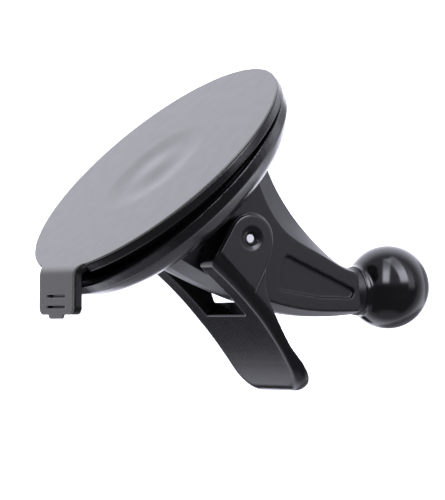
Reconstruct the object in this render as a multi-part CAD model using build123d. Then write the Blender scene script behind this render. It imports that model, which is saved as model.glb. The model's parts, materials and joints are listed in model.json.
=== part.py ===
"""Windscreen suction mount with a ball, for a portable navigator.

Millimetres. The origin is the centre of the suction face, which lies in the plane z = 0 and
faces +Z, towards the glass. The arm leans to +X, the pull tab points to -X and the lever turns
about an axis along Y.

The dish, arm, post and lever share one frame of their own, the working frame. It is tipped a
little about Y, because the relaxed pad stands off the dish at the tab. In the working frame the
dish's axis is the Z axis.
"""

import os
from math import cos, radians, sin, sqrt, tan

from build123d import *

# Pad and pull tab
PAD_RADIUS = 29.65
PAD_UNDER_RADIUS = 29.3
PAD_THICKNESS = 2.3
PAD_SIDE_BOTTOM_Z = -2.0
FACE_THICKNESS = 0.4
RIB_RADIUS = 26.0
RIB_WIDTH = 1.8
RIB_BOTTOM_Z = -5.4
TAB_WIDTH = 14.2
TAB_THICKNESS = 2.05
TAB_LENGTH = 8.6
TAB_SLOPE = 46.5
TAB_BEND_X = -29.8
TAB_BEND_RADIUS = 2.6
TAB_ROOT_X = -26.0
TAB_CORNER = 1.5
TAB_ROOT_WIDTH = 18.6
TAB_FLARE_RADIUS = 2.0
TAB_FLARE_START = -1.15
TAB_SLOTS = (5.0, 7.1)
SLOT_WIDTH = 7.5
SLOT_HEIGHT = 0.5
SLOT_DEPTH = 0.75
BEAD_WIDTH = 6.2
BEAD_DEPTH = 0.8

# Working frame
TIP_ANGLE = 2.7
WORKING = Location((-0.45, 0, 0), (0, -TIP_ANGLE, 0))

# Dish
RIM_TOP_Z = -3.35
RIM_BOTTOM_Z = -5.55
RIM_TOP_RADIUS = 29.6
RIM_BOTTOM_RADIUS = 29.1
DOME_TOP_Z = -5.45
DOME_RADIUS = 28.6
DOME_DEPTH = 8.9
DOME_POWER = 0.6
DISH_WALL = 1.8
LAND_Z = -13.0

# Post, spring and pin
PIN_Z = -19.7
PIN_RADIUS = 1.0
PIN_LENGTH = 27.4
PIN_CLEARANCE = 0.05
TRAVEL = 4.0
POST_RADIUS = 3.0
POST_CLEARANCE = 0.25
POST_END_Z = PIN_Z - 3.0
FLANGE_RADIUS = 10.0
FLANGE_BOTTOM_Z = -4.2
SPRING_RADIUS = 4.4
SPRING_WIRE = 0.7
SPRING_TURNS = 3.5

# Lever
EAR_INNER_Y = 7.7
EAR_OUTER_Y = 14.0
CAM_RADIUS = 5.1
CAM_SLOPE = 13.4
CAM_BACK_ANGLE = -59.0
PALM_RADIUS = 80.0
PALM_X = -9.0
PALM_Z = -28.0
PALM_ROUND = 2.2
WEB_TOP_Z = -31.9
WEB_SLOPE = 10.0
LEVER_FRONT_X = -16.0
LEVER_WAIST_Z = -33.0
LEVER_WAIST_BEND = 40.0
LEVER_TIP_Z = -51.8
LEVER_TIP_Y = 12.4
LEVER_TIP_CORNER = 7.0
BOSS_HEIGHT = 0.35
BOSS_RADIUS = 4.65
BOSS_END_ANGLE = -32.0
BOSS_FRONT_X = -7.1
COUNTERBORE_RADIUS = 1.38
COUNTERBORE_DEPTH = 1.0
CONE_RADIUS = 2.35
CONE_DEPTH = 0.3

# Arm and ball
ARM_SIDE_Y = 7.0
ARM_END_Y = 5.5
ARM_BACK_Y = 1.5
ARM_TOP_Z = -9.0
NECK_RADIUS = 5.0
BALL_RADIUS = 8.5
BALL_CENTRE = (21.7, -55.2)
NECK_START = (13.9, -48.65)
COLLAR_RADIUS = 5.2
COLLAR_START = 7.7
COLLAR_WIDTH = 0.9
FLARE_LENGTH = 7.0
FLARE_RADIUS = 8.6
SPIGOT_RADIUS = 2.6
SPIGOT_END = 1.0
POCKET_DEPTH = 0.8

# Screws between the dish and the arm, as (x, y) in the working frame
SCREW_PLACES = [(-7.4, 4.2), (-7.4, -4.2), (8.2, 4.2), (8.2, -4.2)]
SCREW_RADIUS = 1.1
SCREW_HEAD_RADIUS = 2.0
SCREW_HEAD_HEIGHT = 1.2
SCREW_LENGTH = 6.5


def side_face(*edges):
    """A face in the XZ plane, from edges drawn with (x, z) as their flat coordinates."""
    return Plane.XZ * make_face(edges)


def slab(face, half_width):
    """A side face made solid, the same distance to each side of the plane y = 0."""
    return extrude(face, half_width, both=True)


def block(x_range, y_range, z_range):
    """A box between two corners."""
    size = [high - low for low, high in (x_range, y_range, z_range)]
    centre = [(high + low) / 2 for low, high in (x_range, y_range, z_range)]
    return Pos(*centre) * Box(*size)


def upright_cylinder(radius, low_z, high_z, x=0.0, y=0.0):
    """A cylinder along Z between two heights."""
    return Pos(x, y, (low_z + high_z) / 2) * Cylinder(radius, high_z - low_z)


def cross_cylinder(radius, low_y, high_y, z=PIN_Z):
    """A cylinder along Y between two places, on the pin's axis unless told otherwise."""
    return Pos(0, (low_y + high_y) / 2, z) * Rot(90, 0, 0) * Cylinder(radius, high_y - low_y)


# Suction pad and its face


def tab_outline(front, back, length):
    """The tab's side view between two depths under its front surface."""

    def bend(depth):
        return (TAB_BEND_X + depth * tan(radians(TAB_SLOPE / 2)), -depth)

    def end(depth):
        x, z = TAB_BEND_X, 0.0
        x -= length * cos(radians(TAB_SLOPE)) - depth * sin(radians(TAB_SLOPE))
        z -= length * sin(radians(TAB_SLOPE)) + depth * cos(radians(TAB_SLOPE))
        return (x, z)

    points = [(TAB_ROOT_X, -front), bend(front), end(front)]
    points += [end(back), bend(back), (TAB_ROOT_X, -back)]
    outline = make_face(Polyline(*points, close=True))
    for depth in (front, back):
        corner = outline.vertices().sort_by_distance((*bend(depth), 0))[0]
        outline = fillet(corner, TAB_BEND_RADIUS - depth)
    return Plane.XZ * outline


def tab_frame(distance):
    """A plane on the tab's front surface: its X runs across the tab and its Z points out of it."""
    slope = radians(TAB_SLOPE)
    origin = (TAB_BEND_X - distance * cos(slope), 0, -distance * sin(slope))
    return Plane(origin=origin, x_dir=(0, 1, 0), z_dir=(-sin(slope), 0, cos(slope)))


def tab_plan(bead_depth):
    """The tab's outline seen square to its front, as a tall block to cut the strip with."""
    # the frame's Y axis points down the tab, so the end of the tab is at its positive side
    root = -8.0
    half = TAB_WIDTH / 2
    wide = TAB_ROOT_WIDTH / 2
    corners = []
    for side in (1, -1):
        step = [
            (side * wide, root),
            (side * wide, TAB_FLARE_START),
            (side * half, TAB_FLARE_START),
            (side * half, TAB_LENGTH),
        ]
        corners += step[::side]
    shape = make_face(Polyline(*corners, close=True))
    step_corners = shape.vertices().filter_by_position(Axis.X, -half - 0.1, half + 0.1)
    shape = fillet(step_corners.group_by(Axis.Y)[0], TAB_FLARE_RADIUS)
    shape = fillet(shape.vertices().group_by(Axis.Y)[-1], TAB_CORNER)
    if bead_depth:
        bead = RectangleRounded(BEAD_WIDTH, 4.0, 0.9 * bead_depth)
        shape += Pos(0, TAB_LENGTH + bead_depth - 2.0) * bead
    return extrude(tab_frame(0) * shape, 12.0, both=True)


def tab_layer(front, back, bead_depth):
    """One layer of the tab, between two depths, with its slots where they reach it."""
    strip = slab(tab_outline(front, back, TAB_LENGTH + bead_depth), TAB_WIDTH)
    layer = strip & tab_plan(bead_depth)
    for distance in TAB_SLOTS:
        slot = Rectangle(SLOT_WIDTH, SLOT_HEIGHT)
        layer -= extrude(tab_frame(distance) * slot, SLOT_DEPTH, both=True)
    return layer


def tab_seat():
    """The part of the disc that the tab's root takes the place of."""
    half = TAB_ROOT_WIDTH / 2
    return block((-PAD_RADIUS - 1, TAB_ROOT_X), (-half, half), (-PAD_THICKNESS - 1, 1))


def make_pad_face():
    disc = upright_cylinder(PAD_RADIUS, -FACE_THICKNESS, 0) - tab_seat()
    face = disc + tab_layer(0, FACE_THICKNESS, BEAD_DEPTH)
    return face.solid()


def make_suction_pad():
    flank = Polyline(
        (0, -FACE_THICKNESS),
        (PAD_RADIUS, -FACE_THICKNESS),
        (PAD_RADIUS, PAD_SIDE_BOTTOM_Z),
        (PAD_UNDER_RADIUS, -PAD_THICKNESS),
        (0, -PAD_THICKNESS),
        close=True,
    )
    pad = revolve(side_face(flank), Axis.Z) - tab_seat()
    pad += tab_layer(FACE_THICKNESS, TAB_THICKNESS, 0.0)
    # the rib that centres the pad in the dish stops level with the dish's rim
    rib = upright_cylinder(RIB_RADIUS, -8, -PAD_THICKNESS)
    rib -= upright_cylinder(RIB_RADIUS - RIB_WIDTH, -8, -PAD_THICKNESS)
    pad += rib - WORKING * upright_cylinder(40, -20, RIB_BOTTOM_Z)
    # the dish's rim presses into the side of the pad that is away from the tab
    rim_side = WORKING * upright_cylinder(40.0, RIM_TOP_Z - 8.0, RIM_TOP_Z + 0.05)
    pad -= rim_side & block((0, 40), (-40, 40), (-20, 0)) - upright_cylinder(RIB_RADIUS + 0.5, -20, 0)
    return pad.solid()


# Dish


def dome_curve(inset):
    """Points of the dome's meridian from near the rim to its axis, inset from its outside."""
    radius = DOME_RADIUS - inset
    depth = DOME_DEPTH - inset
    points = []
    for step in range(1, 9):
        r = radius * sin(radians(90 - step * 11.25))
        points.append((r, DOME_TOP_Z - depth * (1 - (r / radius) ** 2) ** DOME_POWER))
    return points


def dish_body(inset, top_z):
    """A filled dish, inset from its outside: a short tapered rim, a dome and a flat land."""
    rim_end = (RIM_BOTTOM_RADIUS - inset, RIM_BOTTOM_Z)
    curve = [rim_end, *dome_curve(inset)]
    start = (0, top_z)
    edges = [
        Polyline(start, (RIM_TOP_RADIUS - inset, top_z), rim_end),
        Spline(*curve, tangents=[(-0.75, -1), (-1, 0)]),
        Line(curve[-1], start),
    ]
    body = revolve(side_face(*edges), Axis.Z)
    land_z = LAND_Z + inset
    return body - block((-40, 40), (-40, 40), (land_z - 20, land_z))


def dish_outside():
    return dish_body(0.0, RIM_TOP_Z)


def make_base_dish():
    dish = dish_outside() - dish_body(DISH_WALL, RIM_TOP_Z + 1.0)
    dish -= upright_cylinder(POST_RADIUS + POST_CLEARANCE, LAND_Z - 1, RIM_TOP_Z)
    for x, y in SCREW_PLACES:
        dish -= upright_cylinder(SCREW_RADIUS, LAND_Z - 1, RIM_TOP_Z, x, y)
    return (WORKING * dish).solid()


# Arm and ball


def neck_axis():
    """The neck's direction in the XZ plane and its length from the neck's start to the ball's centre."""
    run = BALL_CENTRE[0] - NECK_START[0]
    rise = BALL_CENTRE[1] - NECK_START[1]
    length = sqrt(run**2 + rise**2)
    return run / length, rise / length, length


def neck_place(distance):
    """The place on the neck's axis at a distance before the ball's centre, with Z along the axis."""
    dx, dz, _ = neck_axis()
    origin = (BALL_CENTRE[0] - dx * distance, 0, BALL_CENTRE[1] - dz * distance)
    return Plane(origin=origin, x_dir=(0, 1, 0), z_dir=(dx, 0, dz))


def neck_cylinder(radius, start, end):
    """A cylinder on the neck's axis between two distances before the ball's centre."""
    return extrude(neck_place(start) * Circle(radius), start - end)


def across_neck(distance, offset):
    """A point in the side view, beside the neck's axis, at a distance before the ball's centre."""
    dx, dz, _ = neck_axis()
    x = BALL_CENTRE[0] - dx * distance - dz * offset
    z = BALL_CENTRE[1] - dz * distance + dx * offset
    return (x, z)


def arm_section(bulge, back_line):
    """The arm's side view: its front curve, the cut across the neck, its back curve and its top."""
    dx, dz, length = neck_axis()
    front = [(-11.9, ARM_TOP_Z), (-9.1, -20.2), (-3.7, -32.4), (2.6, -42.1)]
    front = [(x - 0.75 * bulge, z - 0.65 * bulge) for x, z in front]
    front.append(across_neck(length, -3.7 - 0.7 * bulge))
    front.append(across_neck(COLLAR_START, -3.9 - 0.5 * bulge))
    front_curve = Spline(*front, tangents=[(0.1, -1), (dx, dz)])
    back_curve = Spline(*back_line, tangents=[(-0.6, -1), (dx, dz)])
    return make_face(
        [front_curve, Line(front[-1], back_line[-1]), back_curve, Line(back_line[0], front[0])]
    )


def arm_half():
    """Half of the arm, from its middle plane to the side that faces +Y."""
    _, _, length = neck_axis()
    crease = [(15.9, ARM_TOP_Z), (10.2, -20.4), (9.1, -27.5), (12.3, -37.9)]
    crease += [across_neck(length, 3.7), across_neck(COLLAR_START, 3.9)]
    ridge = [(22.8, ARM_TOP_Z), (17.9, -18.0), (15.7, -26.4), (15.5, -39.1)]
    ridge += [across_neck(length, 4.9), across_neck(COLLAR_START, 4.6)]
    side = Plane((0, ARM_SIDE_Y, 0), x_dir=(1, 0, 0), z_dir=(0, -1, 0)) * arm_section(0, crease)
    middle = Plane((0, ARM_BACK_Y, 0), x_dir=(1, 0, 0), z_dir=(0, -1, 0)) * arm_section(1.2, ridge)
    flank = loft([middle, side], ruled=True)
    core = extrude(middle, ARM_BACK_Y, dir=(0, -1, 0))
    return flank + core


def arm_plan(inset=0.0):
    """The arm seen square to the neck's axis, as a block: full width, then narrower towards the neck."""
    _, _, length = neck_axis()
    place = neck_place(length)
    far = 60.0
    wide = ARM_SIDE_Y - inset
    narrow = ARM_END_Y - inset
    edges = []
    for side in (1, -1):
        edges += [
            Line((side * wide, -far), (side * wide, -30.0)),
            Line((side * wide, -30.0), (side * narrow, 0.0)),
        ]
    edges += [
        Line((-wide, -far), (wide, -far)),
        Line((-narrow, 0.0), (narrow, 0.0)),
    ]
    across = Plane(origin=place.origin, x_dir=(0, 1, 0), z_dir=place.x_dir.cross(place.z_dir))
    if across.y_dir.dot(place.z_dir) < 0:
        across = Plane(origin=place.origin, x_dir=(0, -1, 0), z_dir=-across.z_dir)
    return extrude(across * make_face(edges), 80.0, both=True)


def arm_pocket():
    """The shallow three-cornered pocket in the arm's sides."""
    corners = [(6.7, -30.6), (13.4, -47.6), (11.6, -48.2), (6.4, -42.6), (0.5, -34.4)]
    outline = side_face(Polyline(*corners, close=True))
    pocket = extrude(outline, ARM_SIDE_Y + 1, both=True)
    pocket = fillet(pocket.edges().filter_by(Axis.Y), 0.75)
    return pocket - arm_plan(POCKET_DEPTH)


def neck_cone(wide_radius, narrow_radius, start, end):
    """A cone on the neck's axis, narrowing towards the ball between two distances before its centre."""
    wide = neck_place(start) * Circle(wide_radius)
    narrow = neck_place(end) * Circle(narrow_radius)
    return loft([wide, narrow])


def neck_rounding():
    """What the arm's end is trimmed with, so that its corners run out into the round neck."""
    flare_start = COLLAR_START + FLARE_LENGTH
    flare = neck_cone(FLARE_RADIUS, NECK_RADIUS, flare_start, COLLAR_START)
    return flare + neck_cylinder(60.0, flare_start + 60.0, flare_start)


def make_arm():
    half = arm_half()
    arm = half + mirror(half, Plane.XZ)
    arm = arm & arm_plan() & neck_rounding()
    arm += neck_cone(4.2, NECK_RADIUS, COLLAR_START + 4.0, COLLAR_START)
    arm += neck_cylinder(SPIGOT_RADIUS, COLLAR_START, SPIGOT_END)
    arm -= dish_outside()
    arm -= upright_cylinder(POST_RADIUS + POST_CLEARANCE, POST_END_Z - TRAVEL - 0.6, 0)
    for end in (PIN_Z, PIN_Z - TRAVEL):
        arm -= cross_cylinder(PIN_RADIUS + 0.15, -9, 9, end)
    slot_half = PIN_RADIUS + 0.15
    arm -= block((-slot_half, slot_half), (-9, 9), (PIN_Z - TRAVEL, PIN_Z))
    for x, y in SCREW_PLACES:
        arm -= upright_cylinder(SCREW_RADIUS, LAND_Z + DISH_WALL - SCREW_LENGTH, 0, x, y)
    arm -= arm_pocket()
    return (WORKING * arm).solid()


def make_ball():
    centre = Pos(BALL_CENTRE[0], 0, BALL_CENTRE[1])
    ball = centre * Sphere(BALL_RADIUS)
    ball += neck_cylinder(COLLAR_RADIUS, COLLAR_START, COLLAR_START - COLLAR_WIDTH)
    ball -= neck_cylinder(NECK_RADIUS, COLLAR_START + 3.0, COLLAR_START)
    ball -= neck_cylinder(SPIGOT_RADIUS, COLLAR_START + 3.0, SPIGOT_END)
    return (WORKING * ball).solid()


def make_arm_screws():
    """Four screws, their heads inside the dish and their shanks in the arm's foot."""
    seat = LAND_Z + DISH_WALL
    screws = []
    for x, y in SCREW_PLACES:
        shank = upright_cylinder(SCREW_RADIUS, seat - SCREW_LENGTH, seat, x, y)
        head = upright_cylinder(SCREW_HEAD_RADIUS, seat, seat + SCREW_HEAD_HEIGHT, x, y)
        recess = upright_cylinder(0.9, seat + SCREW_HEAD_HEIGHT / 2, seat + 2, x, y)
        screws.append((WORKING * (shank + head - recess)).solid())
    return Compound(children=screws)


# Post, spring and pin


def make_pull_post():
    flange = upright_cylinder(FLANGE_RADIUS, FLANGE_BOTTOM_Z, 0)
    column = upright_cylinder(POST_RADIUS, POST_END_Z, FLANGE_BOTTOM_Z)
    column = chamfer(column.edges().sort_by(Axis.Z)[0], 0.5)
    post = WORKING * (flange + column - cross_cylinder(PIN_RADIUS, -5, 5))
    # the flange is bonded to the pad's underside, which is square to the Z axis of the whole mount
    post -= block((-20, 20), (-20, 20), (-PAD_THICKNESS, 5))
    return post.solid()


def make_return_spring():
    low = LAND_Z + DISH_WALL + 0.02
    high = FLANGE_BOTTOM_Z - 0.02
    height = high - low - SPRING_WIRE
    path = Pos(0, 0, low + SPRING_WIRE / 2) * Helix(height / SPRING_TURNS, height, SPRING_RADIUS)
    start = Plane(origin=path @ 0, z_dir=path % 0)
    wire = sweep(start * Circle(SPRING_WIRE / 2), path=path)
    return (WORKING * wire).solid()


def make_pivot_pin():
    pin = cross_cylinder(PIN_RADIUS, -PIN_LENGTH / 2, PIN_LENGTH / 2)
    pin = chamfer(pin.edges().filter_by(GeomType.CIRCLE), 0.2)
    return (WORKING * pin).solid()


# Lever


def cam_point(angle, radius=CAM_RADIUS):
    """A point around the pin in the side view, its angle measured from +X towards +Z."""
    return (radius * cos(radians(angle)), PIN_Z + radius * sin(radians(angle)))


def lever_side():
    """The lever's side view, with its front left long for the palm to trim."""
    start = cam_point(90.0 + CAM_SLOPE)
    end = cam_point(CAM_BACK_ANGLE)
    top_front = (LEVER_FRONT_X, start[1] - (start[0] - LEVER_FRONT_X) * tan(radians(CAM_SLOPE)))
    back = [end, (-3.5, -27.7), (-6.4, -33.2), (-8.2, -40.0), (-9.3, LEVER_TIP_Z)]
    leaving = (sin(radians(CAM_BACK_ANGLE)), -cos(radians(CAM_BACK_ANGLE)))
    edges = [
        Line(top_front, start),
        ThreePointArc(start, cam_point((90.0 + CAM_SLOPE + CAM_BACK_ANGLE) / 2), end),
        Spline(*back, tangents=[leaving, (-0.1, -1)]),
        Line(back[-1], (LEVER_FRONT_X, LEVER_TIP_Z)),
        Line((LEVER_FRONT_X, LEVER_TIP_Z), top_front),
    ]
    return side_face(*edges)


def lever_front():
    """The lever's front view as a block along X: straight at the ears, then drawn in to a rounded tip."""
    corners = []
    for side in (1, -1):
        half = [
            (side * EAR_OUTER_Y, 0),
            (side * EAR_OUTER_Y, LEVER_WAIST_Z),
            (side * LEVER_TIP_Y, LEVER_TIP_Z),
        ]
        corners += half[::side]
    outline = make_face(Polyline(*corners, close=True))
    waist = outline.vertices().group_by(Axis.Y)[1]
    outline = fillet(waist, LEVER_WAIST_BEND)
    tips = outline.vertices().group_by(Axis.Y)[0]
    outline = fillet(tips, LEVER_TIP_CORNER)
    return extrude(Plane.YZ * outline, 30, both=True)


def lever_blank():
    """The lever as one thick plate with its palm, and all the palm's edges rounded."""
    blank = slab(lever_side(), EAR_OUTER_Y) & lever_front()
    hollow = Cylinder(PALM_RADIUS, 3 * EAR_OUTER_Y)
    blank -= Pos(PALM_X - PALM_RADIUS, 0, PALM_Z) * Rot(90, 0, 0) * hollow
    palm = blank.faces().filter_by(GeomType.CYLINDER).sort_by(SortBy.AREA)[-1]
    return fillet(palm.outer_wire().edges(), PALM_ROUND)


def ear_bosses():
    """The slightly raised plates on the outside of the ears, round the pin and down to the front."""
    start = cam_point(90.0 + CAM_SLOPE, BOSS_RADIUS)
    end = cam_point(BOSS_END_ANGLE, BOSS_RADIUS)
    top_front = (BOSS_FRONT_X, start[1] - (start[0] - BOSS_FRONT_X) * tan(radians(CAM_SLOPE)))
    middle = cam_point((90.0 + CAM_SLOPE + BOSS_END_ANGLE) / 2, BOSS_RADIUS)
    edges = [
        Line(top_front, start),
        ThreePointArc(start, middle, end),
        Spline(end, (1.9, -24.3), (-1.5, -25.9), (BOSS_FRONT_X, -27.7)),
        Line((BOSS_FRONT_X, -27.7), top_front),
    ]
    plate = slab(side_face(*edges), EAR_OUTER_Y + BOSS_HEIGHT)
    return plate - block((-40, 40), (-EAR_INNER_Y, EAR_INNER_Y), (-60, 0))


def pin_hole():
    """The pin's hole through both ears, with a counterbore and a shallow cone at each end."""
    outer = EAR_OUTER_Y + BOSS_HEIGHT
    hole = cross_cylinder(PIN_RADIUS + PIN_CLEARANCE, -outer, outer)
    for side in (1, -1):
        counterbore = cross_cylinder(COUNTERBORE_RADIUS, outer - COUNTERBORE_DEPTH, outer)
        cone = Pos(0, outer - CONE_DEPTH / 2, PIN_Z) * Rot(-90, 0, 0)
        cone *= Cone(COUNTERBORE_RADIUS, CONE_RADIUS, CONE_DEPTH)
        end = counterbore + cone
        hole += end if side > 0 else mirror(end, Plane.XZ)
    return hole


def lever_window():
    """The window between the ears; its bottom, the top of the web, rises towards the arm."""
    slope = tan(radians(WEB_SLOPE))
    front = (-20.0, WEB_TOP_Z + (-20.0 - PALM_X) * slope)
    back = (20.0, WEB_TOP_Z + (20.0 - PALM_X) * slope)
    return slab(side_face(Polyline(front, back, (20.0, 0), (-20.0, 0), close=True)), EAR_INNER_Y)


def make_lever():
    lever = lever_blank() + ear_bosses()
    lever -= lever_window()
    lever -= pin_hole()
    return (WORKING * lever).solid()


MAKERS = {
    "pad_face": make_pad_face,
    "suction_pad": make_suction_pad,
    "base_dish": make_base_dish,
    "arm": make_arm,
    "ball": make_ball,
    "arm_screws": make_arm_screws,
    "pull_post": make_pull_post,
    "return_spring": make_return_spring,
    "pivot_pin": make_pivot_pin,
    "lever": make_lever,
}

os.makedirs("parts", exist_ok=True)
for name, make in MAKERS.items():
    export_step(make(), f"parts/{name}.step")
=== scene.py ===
"""Looks for the windscreen suction mount: soft-edged mouldings, materials, studio and camera.

Metres, in the CAD frame: the suction face is the plane z = 0 and faces +Z, and the arm leans to +X.
"""

import json
from math import asin, cos, pi, radians, sin, sqrt

import bmesh
import bpy
from mathutils import Matrix, Vector


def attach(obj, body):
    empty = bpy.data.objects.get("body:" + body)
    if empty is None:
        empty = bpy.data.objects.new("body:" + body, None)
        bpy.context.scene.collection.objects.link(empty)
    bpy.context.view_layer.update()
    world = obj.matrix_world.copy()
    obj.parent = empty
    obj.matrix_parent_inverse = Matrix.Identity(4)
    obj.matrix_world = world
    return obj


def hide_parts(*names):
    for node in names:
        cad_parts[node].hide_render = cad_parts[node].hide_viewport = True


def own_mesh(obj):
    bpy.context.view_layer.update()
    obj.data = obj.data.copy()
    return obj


MM = 0.001

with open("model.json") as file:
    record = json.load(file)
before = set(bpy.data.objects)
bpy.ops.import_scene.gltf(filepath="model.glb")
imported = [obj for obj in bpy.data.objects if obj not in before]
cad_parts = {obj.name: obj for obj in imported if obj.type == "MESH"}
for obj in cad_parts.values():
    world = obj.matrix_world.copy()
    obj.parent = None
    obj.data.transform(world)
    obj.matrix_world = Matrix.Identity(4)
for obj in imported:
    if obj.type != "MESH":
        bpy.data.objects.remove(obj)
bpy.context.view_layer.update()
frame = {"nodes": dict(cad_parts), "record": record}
nodes = frame["nodes"]
ball_mount = next(mount for mount in frame["record"]["mounts"] if mount["name"] == "ball")

# Camera: the direction it looks from, its roll, and how far it stands off
CAMERA_AZIMUTH = radians(-23.691)
CAMERA_ELEVATION = radians(19.021)
CAMERA_ROLL = radians(38.75)
CAMERA_DISTANCE = 0.7
CAMERA_LENS = 253.9
CAMERA_SENSOR = 36.0
CAMERA_AIM = Vector((0, 0, -0.020))
AIM_RIGHT = 1.53 * MM
AIM_DOWN = 1.44 * MM

BACK = Vector(
    (
        sin(CAMERA_AZIMUTH) * cos(CAMERA_ELEVATION),
        -cos(CAMERA_AZIMUTH) * cos(CAMERA_ELEVATION),
        sin(CAMERA_ELEVATION),
    )
)
LEVEL_RIGHT = Vector((cos(CAMERA_AZIMUTH), sin(CAMERA_AZIMUTH), 0))
LEVEL_UP = BACK.cross(LEVEL_RIGHT)
RIGHT = LEVEL_RIGHT * cos(CAMERA_ROLL) - LEVEL_UP * sin(CAMERA_ROLL)
UP = LEVEL_RIGHT * sin(CAMERA_ROLL) + LEVEL_UP * cos(CAMERA_ROLL)

# Floor: a pale sheet that glows a little, so that it stays white without a lamp
FLOOR_Z = -0.075
FLOOR_HALF = 3.0
FLOOR_GREYS = (0.9, 0.94)
FLOOR_PATCHES = 4.0
FLOOR_ROUGHNESS = 0.9
FLOOR_GLOW = 0.75

# The studio is laid out along the axes RIGHT, UP and BACK. A pair of edges below is two cosines with
# one of them, and the light changes smoothly from the first to the second.
STUDIO_COLOUR = (0.98, 0.98, 1.12, 1)

# Tent: the brightness in front of the object and behind it, and where one turns into the other
FRONT_LEVEL = 0.5
BACK_LEVEL = 1.9
TENT_EDGES = (-0.05, -0.6)

# Dim lower front of the tent: where it starts, its top and its bottom, and the share of the
# brightness that is left there
DIM_BACK_EDGES = (-0.1, 0.15)
DIM_TOP_EDGES = (0.35, -0.05)
DIM_BOTTOM_EDGES = (-0.99, -0.85)
DIM_SHARE = 0.2

# Dark openings in the tent: the direction as right, up and back, the angles of the dark core and of
# the faded rim in degrees, and the share of the brightness that is left
TENT_OPENINGS = [
    ((-0.42, -0.53, -0.735), 8.0, 16.5, 0.03),
    ((0.30, -0.62, -0.72), 14.0, 31.0, 0.2),
    ((0.62, 0.06, -0.78), 9.0, 24.0, 0.3),
    ((-0.90, 0.0, -0.45), 10.0, 30.0, 0.5),
]

# Soft boxes: the azimuth from behind the camera towards the right, the half width, the lowest and
# the highest elevation, all in degrees, and the brightness
SOFT_BOXES = [
    (-7.3, 8.0, 16.0, 62.0, 7.0),
    (46.8, 11.0, 16.0, 60.0, 7.0),
    (68.0, 10.0, 0.0, 40.0, 1.2),
]

# How many degrees outside and inside an edge a soft box fades, the share of its brightness that is
# left above it, and the edges of the half of the studio that it hangs in
SIDE_FADE = (3.0, 2.0)
BOTTOM_FADE = (8.0, 6.0)
TOP_FADE = (20.0, 25.0)
TOP_SHARE = 0.2
FORWARD_EDGES = (0.0, 0.1)

# Materials: the range that noise mostly fills, the number of patches per metre, the tints of
# reflections, and for steel the shade of its marks and the spread of its roughness, as shares
NOISE_RANGE = (0.3, 0.7)
MOTTLE_PATCHES = 120.0
GLOSS_PATCHES = 350.0
PLAIN_SHINE = (1.0, 1.0, 1.0)
WARM_SHINE = (1.0, 1.0, 0.88)
STEEL_DARKER = 0.9
STEEL_SPREAD = 0.3

# Mouldings
SMOOTHING = 0.5
TRIANGLE_LIMIT = 180000

# Ring-shaped hollow in the suction face; only points within the skin's depth of the face move
FACE_SKIN = 0.12 * MM
HOLLOW_RADIUS = 12.5 * MM
HOLLOW_DEPTH = 0.28 * MM

# Ball: its blend into the neck's collar, and the collar's places behind the ball's centre
BALL_CENTRE = Vector(ball_mount["pos_m"])
BALL_AXIS = Vector(ball_mount["axis"]).normalized()
BALL_RADIUS = ball_mount["dims"]["r_mm"] * MM
BALL_STEPS = 72
BALL_AROUND = 144
BLEND_RADIUS = 5.6 * MM
BLEND_PULL = 0.6 * MM
BLEND_STEPS = 8
COLLAR_RADIUS = 5.03 * MM
COLLAR_TAPER = 0.06 * MM
COLLAR_START = 7.25 * MM
COLLAR_END = 7.7 * MM
COLLAR_ROOT = 8.2 * MM


# Node helpers


def new_material(name):
    """An empty node material, its tree and its Principled shader."""
    mat = bpy.data.materials.new(name)
    mat.use_nodes = True
    return mat, mat.node_tree, mat.node_tree.nodes["Principled BSDF"]


def link(tree, source, target):
    """Joins two sockets."""
    tree.links.new(source, target)


def noise(tree, patches, detail=3.0):
    """Noise in object space, with a number of patches per metre."""
    coords = tree.nodes.new("ShaderNodeTexCoord")
    node = tree.nodes.new("ShaderNodeTexNoise")
    node.inputs["Scale"].default_value = patches
    node.inputs["Detail"].default_value = detail
    link(tree, coords.outputs["Object"], node.inputs["Vector"])
    return node.outputs["Fac"]


def remap(tree, value, source, target):
    """A node that moves a value from one range to another and holds it inside."""
    node = tree.nodes.new("ShaderNodeMapRange")
    for socket, limit in zip(("From Min", "From Max", "To Min", "To Max"), (*source, *target)):
        node.inputs[socket].default_value = limit
    link(tree, value, node.inputs["Value"])
    return node


def two_tone(tree, value, dark, light):
    """A colour between two, by a value from 0 to 1."""
    node = tree.nodes.new("ShaderNodeMix")
    node.data_type = "RGBA"
    node.inputs["A"].default_value = (*dark, 1)
    node.inputs["B"].default_value = (*light, 1)
    link(tree, value, node.inputs["Factor"])
    return node.outputs["Result"]


def grey(level, blue=1.0):
    """A grey colour, with its blue part scaled."""
    return (level, level, level * blue)


def uneven_gloss(tree, shader, value, roughness, spread):
    """Roughness that follows a noise value, by up to a spread to each side."""
    node = remap(tree, value, NOISE_RANGE, (roughness - spread, roughness + spread))
    link(tree, node.outputs["Result"], shader.inputs["Roughness"])


# Materials


def moulded(name, level, blue, roughness, spread, grain, depth, mottle=0.15, shine=0.5, tint=PLAIN_SHINE):
    """Moulded plastic or rubber: slight mottling, uneven gloss, and a grain with its size and depth in mm."""
    mat, tree, shader = new_material(name)
    shader.inputs["Specular IOR Level"].default_value = shine
    shader.inputs["Specular Tint"].default_value = (*tint, 1)
    dark = grey(level * (1 - mottle), blue)
    light = grey(level * (1 + mottle), blue)
    link(tree, two_tone(tree, noise(tree, MOTTLE_PATCHES), dark, light), shader.inputs["Base Color"])
    uneven_gloss(tree, shader, noise(tree, GLOSS_PATCHES, detail=4.0), roughness, spread)
    bump = tree.nodes.new("ShaderNodeBump")
    bump.inputs["Strength"].default_value = 1.0
    bump.inputs["Distance"].default_value = depth * MM
    link(tree, noise(tree, 1 / (grain * MM), detail=2.0), bump.inputs["Height"])
    link(tree, bump.outputs["Normal"], shader.inputs["Normal"])
    return mat


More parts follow.
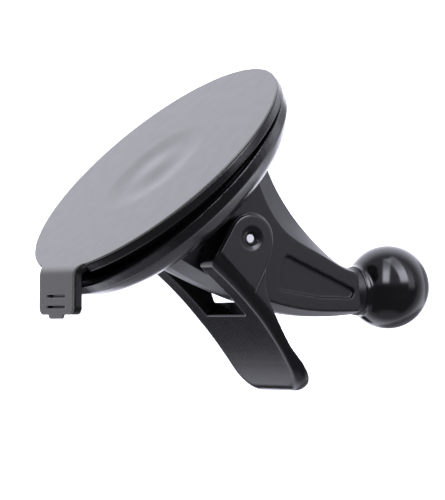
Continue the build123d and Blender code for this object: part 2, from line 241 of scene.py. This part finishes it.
def steel(name, level, roughness, marks):
    """Bare steel with fine turning marks, by their number per metre."""
    mat, tree, shader = new_material(name)
    shader.inputs["Metallic"].default_value = 1.0
    scratches = noise(tree, marks, detail=5.0)
    colour = two_tone(tree, scratches, grey(level * STEEL_DARKER), grey(level))
    link(tree, colour, shader.inputs["Base Color"])
    uneven_gloss(tree, shader, scratches, roughness, roughness * STEEL_SPREAD)
    return mat


MOULDED = {
    "pad_face": dict(
        level=0.06,
        blue=0.9,
        roughness=0.3,
        spread=0.02,
        grain=0.5,
        depth=0.0005,
        mottle=0.04,
        tint=WARM_SHINE,
    ),
    "pad_rubber": dict(
        level=0.004, blue=1.1, roughness=0.24, spread=0.02, grain=0.3, depth=0.0015, shine=0.45
    ),
    "dish_plastic": dict(level=0.003, blue=1.1, roughness=0.2, spread=0.02, grain=0.3, depth=0.0008),
    "arm_plastic": dict(
        level=0.004, blue=1.2, roughness=0.38, spread=0.02, grain=0.3, depth=0.018, shine=0.36
    ),
    "ball_plastic": dict(level=0.003, blue=1.1, roughness=0.12, spread=0.015, grain=0.6, depth=0.0004),
    "post_plastic": dict(level=0.012, blue=1.0, roughness=0.45, spread=0.05, grain=0.2, depth=0.004),
    "lever_plastic": dict(
        level=0.004, blue=1.12, roughness=0.2, spread=0.012, grain=0.3, depth=0.006, shine=0.45
    ),
}
STEELS = {
    "screw_steel": dict(level=0.6, roughness=0.3, marks=4000.0),
    "spring_steel": dict(level=0.55, roughness=0.3, marks=4000.0),
    "pin_steel": dict(level=0.85, roughness=0.22, marks=3000.0),
}
MATERIALS = {name: moulded(name, **look) for name, look in MOULDED.items()}
MATERIALS.update({name: steel(name, **look) for name, look in STEELS.items()})

# CAD nodes whose shape stays, and their materials
CAD_SLOTS = {
    "arm_screws": "screw_steel",
    "pull_post": "post_plastic",
    "pivot_pin": "pin_steel",
}


def dress(obj, slot):
    """Gives an object one material for all its faces."""
    obj.data.materials.clear()
    obj.data.materials.append(MATERIALS[slot])


# Pieces


def finish_piece(obj, node, body, slot):
    """Puts a new piece in place of a CAD node, on that node's body and with its material."""
    dress(obj, slot)
    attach(obj, body)
    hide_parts(node)


def new_object(name, mesh):
    """A mesh put into the scene."""
    obj = bpy.data.objects.new(name, mesh)
    bpy.context.scene.collection.objects.link(obj)
    return obj


def apply_modifiers(obj):
    """Turns an object's modified shape into its own mesh."""
    evaluated = obj.evaluated_get(bpy.context.evaluated_depsgraph_get())
    mesh = bpy.data.meshes.new_from_object(evaluated)
    obj.modifiers.clear()
    old = obj.data
    obj.data = mesh
    bpy.data.meshes.remove(old)


def soften(obj, voxel, passes):
    """Rounds an object's edges, as a mould leaves them."""
    remesh = obj.modifiers.new("skin", "REMESH")
    remesh.mode = "VOXEL"
    remesh.voxel_size = voxel
    smooth = obj.modifiers.new("round", "SMOOTH")
    smooth.factor = SMOOTHING
    smooth.iterations = passes
    apply_modifiers(obj)


def thin_out(obj):
    """Merges faces where the surface is nearly flat, down to a fixed number of triangles."""
    triangles = sum(len(face.vertices) - 2 for face in obj.data.polygons)
    if triangles > TRIANGLE_LIMIT:
        thin = obj.modifiers.new("thin", "DECIMATE")
        thin.ratio = TRIANGLE_LIMIT / triangles
        apply_modifiers(obj)


def press_hollow(mesh):
    """Presses a shallow ring round the middle of the suction face, where the post pulls."""
    for vertex in mesh.vertices:
        distance = sqrt(vertex.co.x**2 + vertex.co.y**2)
        if vertex.co.z > -FACE_SKIN and distance < HOLLOW_RADIUS:
            vertex.co.z -= HOLLOW_DEPTH * sin(pi * distance / HOLLOW_RADIUS) ** 2


def make_moulding(node, body, slot, voxel, passes, relief=None):
    """A softened copy of a CAD part in its place, with a relief in its surface where one is given."""
    obj = new_object(f"{node}_moulding", nodes[node].data.copy())
    soften(obj, voxel, passes)
    if relief:
        relief(obj.data)
    thin_out(obj)
    obj.data.shade_smooth()
    finish_piece(obj, node, body, slot)


def ball_profile():
    """The outline of ball, blend and collar: each point's place along the axis, and its radius."""
    leave = pi - asin(BLEND_RADIUS / BALL_RADIUS)
    profile = [Vector((BALL_RADIUS, 0))]
    for step in range(1, BALL_STEPS + 1):
        angle = leave * step / BALL_STEPS
        profile.append(Vector((cos(angle), sin(angle))) * BALL_RADIUS)
    start = profile[-1]
    bend = start + Vector((-sin(leave), cos(leave))) * BLEND_PULL
    collar = Vector((-COLLAR_START, COLLAR_RADIUS))
    for step in range(1, BLEND_STEPS + 1):
        t = step / BLEND_STEPS
        profile.append(start * (1 - t) ** 2 + bend * (2 * t * (1 - t)) + collar * t**2)
    profile.append(Vector((-COLLAR_END, COLLAR_RADIUS)))
    profile.append(Vector((-COLLAR_ROOT, COLLAR_RADIUS - COLLAR_TAPER)))
    profile.append(Vector((-COLLAR_ROOT, 0)))
    return profile


def turned(name, profile, centre, axis, around):
    """A closed form turned about an axis square to Y; the profile starts and ends on the axis."""
    across = Vector((0, 1, 0))
    third = axis.cross(across)
    verts = [centre + axis * profile[0].x]
    for along, radius in profile[1:-1]:
        for turn in range(around):
            angle = 2 * pi * turn / around
            verts.append(centre + axis * along + (across * cos(angle) + third * sin(angle)) * radius)
    verts.append(centre + axis * profile[-1].x)
    end = len(verts) - 1
    faces = []
    for turn in range(around):
        following = (turn + 1) % around
        faces.append((0, 1 + turn, 1 + following))
        for low in range(1, end - around, around):
            high = low + around
            faces.append((low + turn, high + turn, high + following, low + following))
        faces.append((end - around + turn, end, end - around + following))
    mesh = bpy.data.meshes.new(name)
    mesh.from_pydata(verts, [], faces)
    shape = bmesh.new()
    shape.from_mesh(mesh)
    bmesh.ops.recalc_face_normals(shape, faces=shape.faces)
    shape.to_mesh(mesh)
    shape.free()
    mesh.shade_smooth()
    return new_object(name, mesh)


def make_ball():
    """The ball and its collar, turned as one form about the neck's axis."""
    ball = turned("ball_turned", ball_profile(), BALL_CENTRE, BALL_AXIS, BALL_AROUND)
    finish_piece(ball, "ball", "base", "ball_plastic")


def make_spring():
    """The return spring, as a plain copy of its CAD part on the base body."""
    spring = new_object("spring_wire", nodes["return_spring"].data.copy())
    finish_piece(spring, "return_spring", "base", "spring_steel")
    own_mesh(spring)


# Studio


def make_floor():
    """The pale floor under the object, which reflections don't show."""
    low, high = -FLOOR_HALF, FLOOR_HALF
    corners = [(low, low, FLOOR_Z), (high, low, FLOOR_Z), (high, high, FLOOR_Z), (low, high, FLOOR_Z)]
    mesh = bpy.data.meshes.new("floor")
    mesh.from_pydata(corners, [], [(0, 1, 2, 3)])
    floor = new_object("floor", mesh)
    mat, tree, shader = new_material("floor_paint")
    dark, light = FLOOR_GREYS
    paint = two_tone(tree, noise(tree, FLOOR_PATCHES), grey(dark), grey(light))
    link(tree, paint, shader.inputs["Base Color"])
    shader.inputs["Roughness"].default_value = FLOOR_ROUGHNESS
    shader.inputs["Emission Color"].default_value = (1, 1, 1, 1)
    shader.inputs["Emission Strength"].default_value = FLOOR_GLOW
    mesh.materials.append(mat)
    floor.visible_glossy = False


def sines(*angles):
    """The sines of angles in degrees."""
    return tuple(sin(radians(angle)) for angle in angles)


def make_world():
    """The light by direction: a pale tent with a dim part and dark openings, and the soft boxes."""
    world = bpy.data.worlds.new("studio")
    bpy.context.scene.world = world
    world.use_nodes = True
    tree = world.node_tree
    background = tree.nodes["Background"]
    coords = tree.nodes.new("ShaderNodeTexCoord")

    def along(axis):
        """The cosine between the light's direction and an axis."""
        dot = tree.nodes.new("ShaderNodeVectorMath")
        dot.operation = "DOT_PRODUCT"
        dot.inputs[1].default_value = axis
        link(tree, coords.outputs["Generated"], dot.inputs[0])
        return dot.outputs["Value"]

    def fade(value, edges, levels=(0.0, 1.0)):
        """A smooth change from one level to another between two edges."""
        node = remap(tree, value, edges, levels)
        node.interpolation_type = "SMOOTHSTEP"
        return node.outputs["Result"]

    def magnitude(value):
        """A value without its sign."""
        node = tree.nodes.new("ShaderNodeMath")
        node.operation = "ABSOLUTE"
        link(tree, value, node.inputs[0])
        return node.outputs["Value"]

    def combine(operation, first, *others):
        """The sum or the product of several values."""
        result = first
        for other in others:
            node = tree.nodes.new("ShaderNodeMath")
            node.operation = operation
            link(tree, result, node.inputs[0])
            link(tree, other, node.inputs[1])
            result = node.outputs["Value"]
        return result

    def dimmed(value, mask, share):
        """The value, brought down towards a share of itself where the mask is 1."""
        return combine("MULTIPLY", value, fade(mask, (0.0, 1.0), (1.0, share)))

    up = along(UP)
    back = along(BACK)

    def soft_box(azimuth, half_width, lowest, highest, level):
        """A tall soft box with faded edges."""
        turn = radians(azimuth)
        forward = along(BACK * cos(turn) + RIGHT * sin(turn))
        across = magnitude(along(RIGHT * cos(turn) - BACK * sin(turn)))
        sides = fade(across, sines(half_width + SIDE_FADE[0], half_width - SIDE_FADE[1]), (0.0, level))
        bottom = fade(up, sines(lowest - BOTTOM_FADE[0], lowest + BOTTOM_FADE[1]))
        top = fade(up, sines(highest + TOP_FADE[0], highest - TOP_FADE[1]), (TOP_SHARE, 1.0))
        return combine("MULTIPLY", sides, bottom, top, fade(forward, FORWARD_EDGES))

    tent = fade(back, TENT_EDGES, (FRONT_LEVEL, BACK_LEVEL))
    dim_top = fade(up, DIM_TOP_EDGES)
    dim_bottom = fade(up, DIM_BOTTOM_EDGES)
    tent = dimmed(tent, combine("MULTIPLY", fade(back, DIM_BACK_EDGES), dim_top, dim_bottom), DIM_SHARE)
    for (right_part, up_part, back_part), core, rim, share in TENT_OPENINGS:
        opening = along((RIGHT * right_part + UP * up_part + BACK * back_part).normalized())
        tent = dimmed(tent, fade(opening, (cos(radians(rim)), cos(radians(core)))), share)
    total = combine("ADD", tent, *[soft_box(*box) for box in SOFT_BOXES])
    link(tree, total, background.inputs["Strength"])
    background.inputs["Color"].default_value = STUDIO_COLOUR


def make_camera():
    """A long lens that looks along the direction above."""
    data = bpy.data.cameras.new("camera")
    data.sensor_width = CAMERA_SENSOR
    data.lens = CAMERA_LENS
    camera = bpy.data.objects.new("camera", data)
    camera.rotation_mode = "QUATERNION"
    camera.rotation_quaternion = Matrix((RIGHT, UP, BACK)).transposed().to_quaternion()
    camera.location = CAMERA_AIM + RIGHT * AIM_RIGHT - UP * AIM_DOWN + BACK * CAMERA_DISTANCE
    bpy.context.scene.collection.objects.link(camera)
    bpy.context.scene.camera = camera


make_camera()
make_floor()
make_world()
for cad_node, cad_slot in CAD_SLOTS.items():
    dress(nodes[cad_node], cad_slot)
make_moulding("pad_face", "base", "pad_face", voxel=0.14 * MM, passes=2, relief=press_hollow)
make_moulding("suction_pad", "base", "pad_rubber", voxel=0.18 * MM, passes=1)
make_moulding("base_dish", "base", "dish_plastic", voxel=0.2 * MM, passes=2)
make_moulding("arm", "base", "arm_plastic", voxel=0.14 * MM, passes=9)
make_moulding("lever", "lever", "lever_plastic", voxel=0.15 * MM, passes=8)
make_ball()
make_spring()

bpy.context.scene.view_settings.view_transform = "Standard"
bpy.context.scene.view_settings.look = "None"
